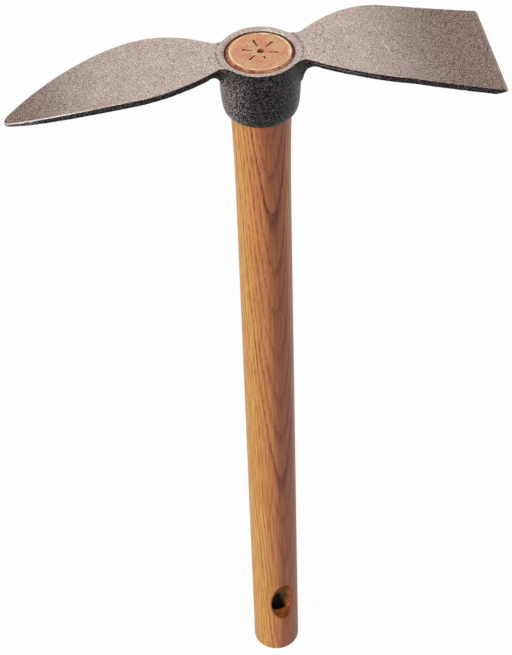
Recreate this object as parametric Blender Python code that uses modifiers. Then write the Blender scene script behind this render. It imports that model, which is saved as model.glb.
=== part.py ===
"""Combination hoe: a forged head with a pointed and a square blade on a turned ash handle.

Metres, +Z up. The handle's axis is Z and its butt stands on the origin. The pointed blade reaches
towards -X and the square blade towards +X; both lie level at the eye and droop towards their ends.
The handle is passed through the eye from above and jams there on its own taper.
"""
import math

import bpy
import bmesh
from mathutils import Matrix

MM = 0.001

# Handle, measured from the butt up
HANDLE_LENGTH = 450 * MM
BUTT_RADIUS = 13.4 * MM
GRIP_TOP_RADIUS = 14.3 * MM
FLARE_LENGTH = 75 * MM
BUTT_ROUNDING = 2.7 * MM
TOP_CHAMFER_WIDTH = 2.0 * MM
TOP_CHAMFER_DROP = 1.4 * MM

# Hang hole through the butt, countersunk wide at both mouths
HANG_HOLE_HEIGHT = 39.2 * MM
HANG_HOLE_RADIUS = 6.7 * MM
HANG_HOLE_TURN = math.radians(20.6)
HANG_HOLE_SLOPE = math.radians(8)
COUNTERSINK_DEPTH = 5.75 * MM
COUNTERSINK_ANGLE = math.radians(55)
COUNTERSINK_EASE = 0.6 * MM

# Marks that the lathe's drive centre, set a little off the axis, left in the handle's top end
MARKS_X = 0.55 * MM
MARKS_Y = 0.35 * MM
CENTRE_MARK_RADIUS = 1.7 * MM
CENTRE_MARK_DEPTH = 2.5 * MM
SPUR_COUNT = 6
SPUR_TURN = math.radians(-18)
SPUR_INNER = 4.3 * MM
SPUR_OUTER = 9.6 * MM
SPUR_WIDTH = 0.9 * MM
SPUR_DEPTH = 1.2 * MM
SHORT_SPUR = 5
SHORT_SPUR_LENGTH = 1.5 * MM

# Eye and collar of the head
EYE_HEIGHT = 34.2 * MM
EYE_TOP_RADIUS = 17.5 * MM
EYE_BOTTOM_RADIUS = 15.95 * MM
EYE_CHAMFER = 0.9 * MM
EYE_CLEARANCE = 0.3 * MM
WOOD_BELOW_RIM = 0.3 * MM
COLLAR_RADIUS = 20.8 * MM
COLLAR_LIP_RADIUS = 18.6 * MM
COLLAR_LIP_ROUNDING = 0.8 * MM
RIM_ROUNDING = 0.8 * MM

# Blade roots: the faces stand a little above the rim, with a groove round it
FACE_RISE = 0.3 * MM
GROOVE_DEPTH = 0.4 * MM
GROOVE_RAMP = 1.8 * MM
NECK_START = 14.5 * MM
NECK_REACH = 21.5 * MM
NECK_FILLET = 8 * MM
GUSSET_REACH = 7 * MM
GUSSET_DEPTH = 12 * MM
GUSSET_DRAFT = 0.25

# Pointed blade
POINT_NECK_WIDTH = 21.3 * MM
POINT_REACH = 129 * MM
POINT_WIDTH = 46.8 * MM
POINT_WIDEST_AT = 59.5 * MM
POINT_TIP_WIDTH = 3.8 * MM
POINT_TIP_ROUNDING = 1.5 * MM
POINT_TIP_SLOPE = 0.66
POINT_ROOT_THICKNESS = 3.6 * MM
POINT_TIP_THICKNESS = 1.6 * MM
POINT_THINNING_POWER = 8
POINT_BEND_FROM = 28.9 * MM
POINT_BEND_SLOPE = 0.48

# Square blade
SQUARE_NECK_WIDTH = 22.5 * MM
SQUARE_REACH = 119 * MM
SQUARE_END_WIDTH = 67.1 * MM
SQUARE_SHOULDER_WIDTH = 60.8 * MM
SQUARE_SHOULDER_AT = 65.9 * MM
SQUARE_THICKNESS = 3.5 * MM
SQUARE_EDGE_THICKNESS = 0.9 * MM
SQUARE_GRIND_LENGTH = 6 * MM
SQUARE_BEND_FROM = 32.6 * MM
SQUARE_BEND_TO = 74.3 * MM
SQUARE_BEND_SLOPE = 0.287
SQUARE_END_SLOPE = 0.246

BLADE_EDGE_EASE = 0.6 * MM

# Share of a curve's span that its end handles pull along
NECK_PULL = 0.03
SHOULDER_PULL = 0.54
TIP_PULL = 0.27

# Facets round a turned form and along each blade's curves
TURNED_STEPS = 72
FILLET_STEPS = 4
NECK_STEPS = 12
FLANK_STEPS = 16
SIDE_STEPS = 7

HEAD_TOP = HANDLE_LENGTH + WOOD_BELOW_RIM
COLLAR_BOTTOM = HEAD_TOP - EYE_HEIGHT


def clear_scene():
    for obj in list(bpy.data.objects):
        bpy.data.objects.remove(obj, do_unlink=True)


def new_collection(name):
    collection = bpy.data.collections.new(name)
    bpy.context.scene.collection.children.link(collection)
    return collection


def surface(name, colour, metallic, roughness):
    """A Principled material with the piece's plain colour."""
    material = bpy.data.materials.new(name)
    material.use_nodes = True
    shader = material.node_tree.nodes["Principled BSDF"]
    shader.inputs["Base Color"].default_value = (*colour, 1.0)
    shader.inputs["Metallic"].default_value = metallic
    shader.inputs["Roughness"].default_value = roughness
    material.diffuse_color = (*colour, 1.0)
    return material


def add_object(name, mesh, collection):
    obj = bpy.data.objects.new(name, mesh)
    collection.objects.link(obj)
    return obj


def turned(name, profile, collection):
    """Turn a profile of (radius, height) points, given from the top down, about Z."""
    mesh = bpy.data.meshes.new(name)
    points = [(radius, 0, height) for radius, height in profile]
    edges = [(i, i + 1) for i in range(len(points) - 1)]
    mesh.from_pydata(points, edges, [])
    obj = add_object(name, mesh, collection)
    screw = obj.modifiers.new("Turn", "SCREW")
    screw.axis = "Z"
    screw.angle = 2 * math.pi
    screw.steps = TURNED_STEPS
    screw.render_steps = TURNED_STEPS
    screw.use_merge_vertices = True
    screw.merge_threshold = 0.00001
    return obj


def as_cutter(obj):
    obj.hide_render = True
    obj.display_type = "WIRE"
    return obj


def cut(target, tool, operation="DIFFERENCE"):
    boolean = target.modifiers.new(tool.name, "BOOLEAN")
    boolean.operation = operation
    boolean.solver = "EXACT"
    boolean.object = tool


def arc(centre, radii, start, end, steps):
    """Points on an ellipse's arc in the (radius, height) plane, angles in degrees from the radius."""
    points = []
    for i in range(steps + 1):
        angle = math.radians(start + (end - start) * i / steps)
        points.append((centre[0] + radii[0] * math.cos(angle), centre[1] + radii[1] * math.sin(angle)))
    return points


def bezier(start, pull_start, pull_end, end, steps):
    """Points of a cubic curve, without its last point."""
    points = []
    for i in range(steps):
        t = i / steps
        weights = ((1 - t) ** 3, 3 * t * (1 - t) ** 2, 3 * t * t * (1 - t), t ** 3)
        corners = (start, pull_start, pull_end, end)
        points.append(tuple(sum(w * c[k] for w, c in zip(weights, corners)) for k in range(2)))
    return points


def eye_radius(height):
    """Radius of the eye's taper at a height above the butt."""
    share = (HEAD_TOP - height) / EYE_HEIGHT
    return EYE_TOP_RADIUS + (EYE_BOTTOM_RADIUS - EYE_TOP_RADIUS) * share


def handle_profile():
    """Half-section of the handle: jam taper in the eye, flare below it, long grip, rounded butt."""
    top_radius = eye_radius(HANDLE_LENGTH) - EYE_CLEARANCE
    neck_radius = eye_radius(COLLAR_BOTTOM) - EYE_CLEARANCE
    flare_bottom = COLLAR_BOTTOM - FLARE_LENGTH
    eye_slope = (EYE_TOP_RADIUS - EYE_BOTTOM_RADIUS) / EYE_HEIGHT
    grip_slope = (GRIP_TOP_RADIUS - BUTT_RADIUS) / flare_bottom
    pull = FLARE_LENGTH / 3
    profile = [(0, HANDLE_LENGTH), (top_radius - TOP_CHAMFER_WIDTH, HANDLE_LENGTH)]
    profile.append((top_radius, HANDLE_LENGTH - TOP_CHAMFER_DROP))
    profile += bezier(
        (neck_radius, COLLAR_BOTTOM),
        (neck_radius - eye_slope * pull, COLLAR_BOTTOM - pull),
        (GRIP_TOP_RADIUS + grip_slope * pull, flare_bottom + pull),
        (GRIP_TOP_RADIUS, flare_bottom), 8)
    profile.append((GRIP_TOP_RADIUS, flare_bottom))
    round_centre = (BUTT_RADIUS - BUTT_ROUNDING, BUTT_ROUNDING)
    profile += arc(round_centre, (BUTT_ROUNDING, BUTT_ROUNDING), 0, -90, 5)
    profile.append((0, 0))
    return profile


def hang_hole_cutter(collection):
    """A bore across the butt, rising a little to the front, that opens into a cone at each mouth."""
    surface_radius = BUTT_RADIUS + (GRIP_TOP_RADIUS - BUTT_RADIUS) * HANG_HOLE_HEIGHT / HANDLE_LENGTH
    cone_start = surface_radius - COUNTERSINK_DEPTH
    flare = math.tan(COUNTERSINK_ANGLE)
    reach = surface_radius / math.cos(HANG_HOLE_SLOPE) + HANG_HOLE_RADIUS
    mouth = HANG_HOLE_RADIUS + (reach - cone_start) * flare
    eased = HANG_HOLE_RADIUS + COUNTERSINK_EASE * flare
    half = [(mouth, reach), (eased, cone_start + COUNTERSINK_EASE)]
    half.append((HANG_HOLE_RADIUS, cone_start - COUNTERSINK_EASE))
    profile = [(0, reach)] + half + [(r, -h) for r, h in reversed(half)] + [(0, -reach)]
    tool = turned("hang_hole_cutter", profile, collection)
    tool.matrix_world = (
        Matrix.Translation((0, 0, HANG_HOLE_HEIGHT))
        @ Matrix.Rotation(HANG_HOLE_TURN, 4, "Z")
        @ Matrix.Rotation(math.pi / 2 - HANG_HOLE_SLOPE, 4, "X"))
    return as_cutter(tool)


def spur_cutter(index, collection):
    """One slit of the drive centre, a thin pointed wedge pressed into the end grain."""
    length = SHORT_SPUR_LENGTH if index == SHORT_SPUR else SPUR_OUTER - SPUR_INNER
    mesh = bpy.data.meshes.new("spur_cutter")
    bm = bmesh.new()
    bmesh.ops.create_cube(bm, size=1)
    bmesh.ops.scale(bm, vec=(length, SPUR_WIDTH, 2 * SPUR_DEPTH), verts=bm.verts)
    bm.to_mesh(mesh)
    bm.free()
    tool = add_object(f"spur_cutter_{index + 1}", mesh, collection)
    angle = SPUR_TURN + index * 2 * math.pi / SPUR_COUNT
    tool.matrix_world = (
        Matrix.Translation((MARKS_X, MARKS_Y, HANDLE_LENGTH))
        @ Matrix.Rotation(angle, 4, "Z")
        @ Matrix.Translation((SPUR_INNER + length / 2, 0, 0)))
    return as_cutter(tool)


def centre_mark_cutter(collection):
    """The conical hole of the drive centre's point."""
    above = 1 * MM
    widen = CENTRE_MARK_RADIUS * above / CENTRE_MARK_DEPTH
    profile = [(0, HANDLE_LENGTH + above), (CENTRE_MARK_RADIUS + widen, HANDLE_LENGTH + above)]
    profile.append((0, HANDLE_LENGTH - CENTRE_MARK_DEPTH))
    tool = turned("centre_mark_cutter", profile, collection)
    tool.matrix_world = Matrix.Translation((MARKS_X, MARKS_Y, 0))
    return as_cutter(tool)


def make_handle(parts, cutters):
    handle = turned("ash_handle", handle_profile(), parts)
    cut(handle, hang_hole_cutter(cutters))
    cut(handle, centre_mark_cutter(cutters))
    for index in range(SPUR_COUNT):
        cut(handle, spur_cutter(index, cutters))
    handle.data.materials.append(surface("oiled_ash", (0.55, 0.26, 0.10), 0.0, 0.45))
    return handle


def collar_profile():
    """Half-section of the collar's solid: rounded rim, barrel side that draws in to the lower lip."""
    barrel_top = HEAD_TOP - RIM_ROUNDING
    lip_top = COLLAR_BOTTOM + COLLAR_LIP_ROUNDING
    profile = [(0, HEAD_TOP)]
    profile += arc((COLLAR_RADIUS - RIM_ROUNDING, barrel_top), (RIM_ROUNDING, RIM_ROUNDING), 90, 0, 3)
    draw_in = COLLAR_RADIUS - COLLAR_LIP_RADIUS
    profile += arc((COLLAR_LIP_RADIUS, barrel_top), (draw_in, barrel_top - lip_top), -6, -84, 10)
    profile += arc(
        (COLLAR_LIP_RADIUS - COLLAR_LIP_ROUNDING, lip_top),
        (COLLAR_LIP_ROUNDING, COLLAR_LIP_ROUNDING), 0, -90, 3)
    profile.append((0, COLLAR_BOTTOM))
    return profile


def eye_cutter(collection):
    """The eye's taper, with a chamfered mouth."""
    above = 2 * MM
    mouth_bottom = HEAD_TOP - EYE_CHAMFER
    mouth_radius = eye_radius(mouth_bottom)
    profile = [(0, HEAD_TOP + above), (mouth_radius + EYE_CHAMFER + above, HEAD_TOP + above)]
    profile.append((mouth_radius, mouth_bottom))
    profile.append((eye_radius(COLLAR_BOTTOM - above), COLLAR_BOTTOM - above))
    profile.append((0, COLLAR_BOTTOM - above))
    return as_cutter(turned("eye_cutter", profile, collection))


def droop(reach, bend_from, bend_to, bend_slope, end_at, end_slope):
    """How far a blade's top has dropped at a reach: its slope grows along the bend, then eases."""
    drop = 0.0
    if reach > bend_from:
        along = min(reach, bend_to) - bend_from
        drop += bend_slope * along ** 2 / (2 * (bend_to - bend_from))
    if reach > bend_to:
        along = reach - bend_to
        drop += bend_slope * along + (end_slope - bend_slope) * along ** 2 / (2 * (end_at - bend_to))
    return drop


def gusset(reach):
    """Extra depth under a blade's root, a quarter-ellipse fillet against the collar."""
    share = min(max((reach - COLLAR_RADIUS) / GUSSET_REACH, 0), 1)
    return GUSSET_DEPTH * (1 - math.sqrt(1 - (1 - share) ** 2))


def groove(reach):
    """How far a blade's top lies below its face level: a groove at the rim that ramps out."""
    share = min(max((reach - NECK_REACH) / GROOVE_RAMP, 0), 1)
    return (FACE_RISE + GROOVE_DEPTH) * (1 - share)


def neck_outline(half_neck, shoulder, shoulder_slope):
    """Half-width against reach from inside the collar, through the neck, to the shoulder."""
    points = []
    for i in range(FILLET_STEPS):
        reach = NECK_START + (NECK_REACH - NECK_START) * i / FILLET_STEPS
        points.append((reach, half_neck + (NECK_REACH - reach) ** 2 / (2 * NECK_FILLET)))
    span = shoulder[0] - NECK_REACH
    back = SHOULDER_PULL * span
    points += bezier(
        (NECK_REACH, half_neck), (NECK_REACH + NECK_PULL * span, half_neck),
        (shoulder[0] - back, shoulder[1] - shoulder_slope * back), shoulder, NECK_STEPS)
    return points


def blade_solid(name, side, stations, collection):
    """Skin eight-cornered sections into one closed blade. A station is (reach, half-width,
    drop of the face, thickness); side is -1 or 1 along X."""
    mesh = bpy.data.meshes.new(name)
    bm = bmesh.new()
    rings = []
    for reach, half, drop, thickness in stations:
        ease = min(BLADE_EDGE_EASE, 0.4 * half, 0.3 * thickness)
        face = HEAD_TOP + FACE_RISE - drop
        top = face - groove(reach)
        low = face - thickness - gusset(reach)
        low_half = half - GUSSET_DRAFT * gusset(reach)
        section = [
            (half - ease, top), (half, top - ease), (low_half, low + ease), (low_half - ease, low),
            (ease - low_half, low), (-low_half, low + ease), (-half, top - ease), (ease - half, top)]
        rings.append([bm.verts.new((side * reach, y, z)) for y, z in section])
    count = len(rings[0])
    for near, far in zip(rings, rings[1:]):
        for k in range(count):
            after = (k + 1) % count
            bm.faces.new((near[k], near[after], far[after], far[k]))
    bm.faces.new(reversed(rings[0]))
    bm.faces.new(rings[-1])
    bmesh.ops.recalc_face_normals(bm, faces=bm.faces)
    bm.to_mesh(mesh)
    bm.free()
    return as_cutter(add_object(name, mesh, collection))


def pointed_blade(collection):
    """Leaf-shaped blade: full shoulder, arched flanks, a small round point, curved down all along."""
    shoulder = (POINT_WIDEST_AT, POINT_WIDTH / 2)
    tip = (POINT_REACH, POINT_TIP_WIDTH / 2)
    outline = neck_outline(POINT_NECK_WIDTH / 2, shoulder, 0)
    pull = TIP_PULL * (tip[0] - shoulder[0])
    outline += bezier(
        shoulder, (shoulder[0] + pull, shoulder[1]),
        (tip[0] - pull, tip[1] + POINT_TIP_SLOPE * pull), tip, FLANK_STEPS)
    outline.append((POINT_REACH - 0.3 * POINT_TIP_ROUNDING, tip[1]))
    outline.append((POINT_REACH, tip[1]))
    stations = []
    for reach, half in outline:
        into_tip = max(1 - (POINT_REACH - reach) / POINT_TIP_ROUNDING, 0)
        half -= POINT_TIP_ROUNDING * (1 - math.sqrt(1 - into_tip ** 2))
        share = max(reach - NECK_REACH, 0) / (POINT_REACH - NECK_REACH)
        thinned = (POINT_ROOT_THICKNESS - POINT_TIP_THICKNESS) * share ** POINT_THINNING_POWER
        drop = droop(reach, POINT_BEND_FROM, POINT_REACH, POINT_BEND_SLOPE,
                     POINT_REACH, POINT_BEND_SLOPE)
        stations.append((reach, half, drop, POINT_ROOT_THICKNESS - thinned))
    return blade_solid("pointed_blade_form", -1, stations, collection)


def square_blade(collection):
    """Square blade: sloping shoulders, nearly straight sides, an end ground thin from below."""
    shoulder = (SQUARE_SHOULDER_AT, SQUARE_SHOULDER_WIDTH / 2)
    corner = (SQUARE_REACH, SQUARE_END_WIDTH / 2)
    side_slope = (corner[1] - shoulder[1]) / (corner[0] - shoulder[0])
    grind_start = SQUARE_REACH - SQUARE_GRIND_LENGTH
    outline = neck_outline(SQUARE_NECK_WIDTH / 2, shoulder, side_slope)
    for i in range(SIDE_STEPS + 1):
        reach = shoulder[0] + (grind_start - shoulder[0]) * i / SIDE_STEPS
        outline.append((reach, shoulder[1] + side_slope * (reach - shoulder[0])))
    outline.append(corner)
    stations = []
    for reach, half in outline:
        ground = max(reach - grind_start, 0) / SQUARE_GRIND_LENGTH
        thickness = SQUARE_THICKNESS + (SQUARE_EDGE_THICKNESS - SQUARE_THICKNESS) * ground
        drop = droop(reach, SQUARE_BEND_FROM, SQUARE_BEND_TO, SQUARE_BEND_SLOPE,
                     SQUARE_REACH, SQUARE_END_SLOPE)
        stations.append((reach, half, drop, thickness))
    return blade_solid("square_blade_form", 1, stations, collection)


def make_head(parts, cutters):
    head = turned("forged_head", collar_profile(), parts)
    cut(head, pointed_blade(cutters), "UNION")
    cut(head, square_blade(cutters), "UNION")
    cut(head, eye_cutter(cutters))
    head.data.materials.append(surface("forged_steel", (0.33, 0.27, 0.25), 0.8, 0.5))
    return head


def smooth(obj, angle):
    """Shade the finished form smooth, with creases kept."""
    evaluated = obj.evaluated_get(bpy.context.evaluated_depsgraph_get())
    mesh = bpy.data.meshes.new_from_object(evaluated)
    obj.modifiers.clear()
    obj.data = mesh
    mesh.shade_smooth()
    mesh.set_sharp_from_angle(angle=math.radians(angle))


clear_scene()
hoe = new_collection("combination_hoe")
tools = new_collection("hoe_cutters")
for piece in (make_head(hoe, tools), make_handle(hoe, tools)):
    smooth(piece, 30)
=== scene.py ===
"""Looks of the combination hoe: a forged steel head on an oiled ash handle, in a pale studio."""
import math

import bmesh
import bpy
import numpy as np
from mathutils import Euler, Matrix, Vector


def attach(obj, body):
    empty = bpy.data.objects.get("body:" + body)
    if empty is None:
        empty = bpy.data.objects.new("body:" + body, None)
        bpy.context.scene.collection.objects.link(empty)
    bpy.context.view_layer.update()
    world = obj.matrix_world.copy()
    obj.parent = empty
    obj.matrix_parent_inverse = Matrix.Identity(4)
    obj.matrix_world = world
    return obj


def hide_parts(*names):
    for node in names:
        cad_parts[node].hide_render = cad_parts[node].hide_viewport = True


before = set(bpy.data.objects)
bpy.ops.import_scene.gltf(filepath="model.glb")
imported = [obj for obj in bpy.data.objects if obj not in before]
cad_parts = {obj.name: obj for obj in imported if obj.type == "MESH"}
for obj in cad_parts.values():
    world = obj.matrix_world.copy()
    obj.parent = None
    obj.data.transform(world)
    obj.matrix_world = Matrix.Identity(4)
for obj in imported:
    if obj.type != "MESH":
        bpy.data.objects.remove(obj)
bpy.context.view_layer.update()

# Forged head
# One drop-forged piece of tool steel: a tapered eye in a round collar, a leaf-shaped pointed blade and
# a square blade, both bent down towards their ends. It is shot-blasted, then dipped in clear lacquer,
# and slides down the handle until its eye jams on the handle's taper.
MM = 0.001

HEAD_TOP = 450.3 * MM
EYE_HEIGHT = 34.2 * MM
EYE_TOP_RADIUS = 17.5 * MM
EYE_BOTTOM_RADIUS = 15.95 * MM
EYE_CHAMFER = 0.9 * MM
COLLAR_BOTTOM = HEAD_TOP - EYE_HEIGHT
COLLAR_RADIUS = 20.8 * MM
COLLAR_LIP_RADIUS = 18.6 * MM
LIP_ROUNDING = 0.8 * MM
RIM_ROUNDING = 0.8 * MM
RIM_FACE_RADIUS = 21.6 * MM
FACE_RISE = 0.3 * MM

NECK_REACH = 21.5 * MM
NECK_START = 14.5 * MM
NECK_FILLET = 8 * MM
GUSSET_REACH = 7 * MM
GUSSET_DEPTH = 12 * MM
GUSSET_DRAFT = 0.25

POINT_NECK_WIDTH = 21.3 * MM
POINT_REACH = 129 * MM
POINT_WIDTH = 46.8 * MM
POINT_WIDEST_AT = 59.5 * MM
POINT_TIP_WIDTH = 3.8 * MM
POINT_TIP_ROUNDING = 1.5 * MM
POINT_TIP_SLOPE = 0.66
POINT_ROOT_THICKNESS = 3.6 * MM
POINT_TIP_THICKNESS = 1.6 * MM
POINT_THINNING_POWER = 8
POINT_BEND_FROM = 28.9 * MM
POINT_BEND_SLOPE = 0.48

SQUARE_NECK_WIDTH = 22.5 * MM
SQUARE_REACH = 119 * MM
SQUARE_END_WIDTH = 67.1 * MM
SQUARE_SHOULDER_WIDTH = 60.8 * MM
SQUARE_SHOULDER_AT = 65.9 * MM
SQUARE_THICKNESS = 3.5 * MM
SQUARE_EDGE_THICKNESS = 0.9 * MM
SQUARE_GRIND_LENGTH = 6 * MM
SQUARE_BEND_FROM = 32.6 * MM
SQUARE_BEND_TO = 74.3 * MM
SQUARE_BEND_SLOPE = 0.287
SQUARE_END_SLOPE = 0.246
SQUARE_CORNER_RADIUS = 1.5 * MM
SQUARE_LAND_WIDTH = 1.3 * MM
SQUARE_LAND_DROP = 0.3 * MM

EDGE_ROUNDING = 0.25 * MM
SIDE_ALLOWANCE = 0.11 * MM
UNDERSIDE_ALLOWANCE = 0.2 * MM
PARTING_LINE_DEPTH = 1.6 * MM
PARTING_LINE_WIDTH = 0.4 * MM
PARTING_LINE_HEIGHT = 0.18 * MM
RING_MARK_WIDTH = 0.45 * MM
RING_MARK_DEPTH = 0.12 * MM
SCRATCH_START = (61.8 * MM, -1.0 * MM)
SCRATCH_END = (64.1 * MM, -11.2 * MM)
SCRATCH_WIDTH = 0.35 * MM
SCRATCH_DEPTH = 0.12 * MM
FORGED_WAVE_LENGTH = 7 * MM
FORGED_WAVE_HEIGHT = 0.16 * MM
BLASTED_GRAIN_LENGTH = 0.8 * MM
BLASTED_GRAIN_HEIGHT = 0.08 * MM

# How far the outlines' curves pull along their stretch at the neck, the shoulder and the tip.
NECK_PULL = 0.03
SHOULDER_PULL = 0.54
TIP_PULL = 0.27

# The skin that makes one forging of the joined forms, and how much it and its root fillets are eased.
SKIN_GRID = 0.33 * MM
SKIN_EASING = 0.4
SKIN_EASING_ROUNDS = 2
FILLET_EASING = 0.6
FILLET_EASING_ROUNDS = 50


def linear(colour):
    """A #rrggbb sRGB colour as linear RGBA."""
    channels = [int(colour[i:i + 2], 16) / 255 for i in (1, 3, 5)]
    return [c / 12.92 if c <= 0.04045 else ((c + 0.055) / 1.055) ** 2.4 for c in channels] + [1.0]


def add_node(tree, kind, inputs=None, **settings):
    """Add a node with its own settings; inputs maps a socket to a value or to the socket it follows."""
    node = tree.nodes.new(kind)
    for name, value in settings.items():
        setattr(node, name, value)
    for socket, value in (inputs or {}).items():
        if isinstance(value, bpy.types.NodeSocket):
            tree.links.new(value, node.inputs[socket])
        else:
            node.inputs[socket].default_value = value
    return node


def new_material(name):
    """An empty node material and its output node."""
    material = bpy.data.materials.new(name)
    material.use_nodes = True
    tree = material.node_tree
    tree.nodes.clear()
    return material, tree, tree.nodes.new("ShaderNodeOutputMaterial")


def add_object(name, mesh):
    obj = bpy.data.objects.new(name, mesh)
    bpy.context.scene.collection.objects.link(obj)
    return obj


def skin(name, rings):
    """Close a row of equal rings of points into one solid, with a flat face on each end ring."""
    mesh = bpy.data.meshes.new(name)
    count = len(rings[0])
    points = [point for ring in rings for point in ring]
    faces = []
    for row in range(len(rings) - 1):
        near, far = row * count, (row + 1) * count
        for k in range(count):
            after = (k + 1) % count
            faces.append((near + k, near + after, far + after, far + k))
    faces.append(tuple(reversed(range(count))))
    faces.append(tuple(range(len(points) - count, len(points))))
    mesh.from_pydata(points, [], faces)
    form = bmesh.new()
    form.from_mesh(mesh)
    bmesh.ops.recalc_face_normals(form, faces=form.faces)
    form.to_mesh(mesh)
    form.free()
    return add_object(name, mesh)


def turned(name, profile, steps):
    """Turn a profile of (radius, height) points about Z, with flat ends."""
    rings = []
    for radius, height in profile:
        angles = [2 * math.pi * k / steps for k in range(steps)]
        rings.append([(radius * math.cos(a), radius * math.sin(a), height) for a in angles])
    return skin(name, rings)


def finished_mesh(obj):
    """The object's mesh with its modifiers applied."""
    obj_with_modifiers = obj.evaluated_get(bpy.context.evaluated_depsgraph_get())
    mesh = bpy.data.meshes.new_from_object(obj_with_modifiers)
    obj.modifiers.clear()
    obj.data = mesh
    return mesh


def combine(target, tool, operation):
    """Join or cut the target with a tool, which is then gone."""
    boolean = target.modifiers.new("Join", "BOOLEAN")
    boolean.operation = operation
    boolean.solver = "EXACT"
    boolean.object = tool
    finished_mesh(target)
    bpy.data.objects.remove(tool)


def arc(centre, radii, start, end, steps):
    """Points on an ellipse's arc, angles in degrees."""
    angles = [math.radians(start + (end - start) * i / steps) for i in range(steps + 1)]
    return [(centre[0] + radii[0] * math.cos(a), centre[1] + radii[1] * math.sin(a)) for a in angles]


def bezier(start, pull_start, pull_end, end, steps):
    """Points of a cubic curve, without its last point."""
    points = []
    for i in range(steps):
        t = i / steps
        weights = ((1 - t) ** 3, 3 * t * (1 - t) ** 2, 3 * t * t * (1 - t), t ** 3)
        corners = (start, pull_start, pull_end, end)
        points.append(tuple(sum(w * c[k] for w, c in zip(weights, corners)) for k in range(2)))
    return points


def eye_radius(height):
    share = (HEAD_TOP - height) / EYE_HEIGHT
    return EYE_TOP_RADIUS + (EYE_BOTTOM_RADIUS - EYE_TOP_RADIUS) * share


def collar_form():
    """The collar as a solid, before the eye is punched: rounded rim, side drawn in to the lower lip."""
    barrel_top = HEAD_TOP - RIM_ROUNDING
    lip_top = COLLAR_BOTTOM + LIP_ROUNDING
    profile = [(COLLAR_RADIUS - RIM_ROUNDING, HEAD_TOP + FACE_RISE)]
    profile += arc((COLLAR_RADIUS - RIM_ROUNDING, barrel_top), (RIM_ROUNDING, RIM_ROUNDING), 90, 0, 6)
    draw_in = COLLAR_RADIUS - COLLAR_LIP_RADIUS
    profile += arc((COLLAR_LIP_RADIUS, barrel_top), (draw_in, barrel_top - lip_top), -3, -84, 24)
    profile += arc(
        (COLLAR_LIP_RADIUS - LIP_ROUNDING, lip_top), (LIP_ROUNDING, LIP_ROUNDING), 0, -90, 6)
    return turned("collar", profile, 192)


def eye_form():
    """The eye's taper with its chamfered mouth, as a punch that also faces the rim."""
    above = 2 * MM
    mouth_bottom = HEAD_TOP - EYE_CHAMFER
    mouth_radius = eye_radius(mouth_bottom)
    profile = [
        (RIM_FACE_RADIUS + above, HEAD_TOP + above), (RIM_FACE_RADIUS, HEAD_TOP),
        (mouth_radius + EYE_CHAMFER, HEAD_TOP), (mouth_radius, mouth_bottom),
        (eye_radius(COLLAR_BOTTOM - above), COLLAR_BOTTOM - above)]
    return turned("eye", profile, 192)


def droop(reach, bend_from, bend_to, bend_slope, end_at, end_slope):
    """How far a blade's top has dropped at a reach: its slope grows along the bend, then eases."""
    drop = 0.0
    if reach > bend_from:
        along = min(reach, bend_to) - bend_from
        drop += bend_slope * along ** 2 / (2 * (bend_to - bend_from))
    if reach > bend_to:
        along = reach - bend_to
        drop += bend_slope * along + (end_slope - bend_slope) * along ** 2 / (2 * (end_at - bend_to))
    return drop


def gusset(reach):
    """Extra depth under a blade's root, a quarter-ellipse fillet against the collar."""
    share = min(max((reach - COLLAR_RADIUS) / GUSSET_REACH, 0), 1)
    return GUSSET_DEPTH * (1 - math.sqrt(1 - (1 - share) ** 2))


def neck_outline(half_neck, shoulder, shoulder_slope):
    """Half-width against reach from inside the collar, through the neck, to the shoulder."""
    points = []
    flare_steps = 14
    for i in range(flare_steps):
        reach = NECK_START + (NECK_REACH - NECK_START) * i / flare_steps
        points.append((reach, half_neck + (NECK_REACH - reach) ** 2 / (2 * NECK_FILLET)))
    span = shoulder[0] - NECK_REACH
    back = SHOULDER_PULL * span
    points += bezier(
        (NECK_REACH, half_neck), (NECK_REACH + NECK_PULL * span, half_neck),
        (shoulder[0] - back, shoulder[1] - shoulder_slope * back), shoulder, 48)
    return points


def blade_section(half, top, thickness, extra):
    """A flat bar's cross-section with rounded edges, deeper and drafted where extra is more than 0.

    It is larger by what the skin's grid and its easing later take off the edges."""
    half += SIDE_ALLOWANCE
    rounding = min(EDGE_ROUNDING, 0.45 * half, 0.45 * thickness)
    low = top - thickness - extra - UNDERSIDE_ALLOWANCE
    low_half = half - GUSSET_DRAFT * extra
    radii = (rounding, rounding)
    return (
        arc((half - rounding, top - rounding), radii, 90, 0, 4)
        + arc((low_half - rounding, low + rounding), radii, 0, -90, 4)
        + arc((rounding - low_half, low + rounding), radii, -90, -180, 4)
        + arc((rounding - half, top - rounding), radii, 180, 90, 4))


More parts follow.
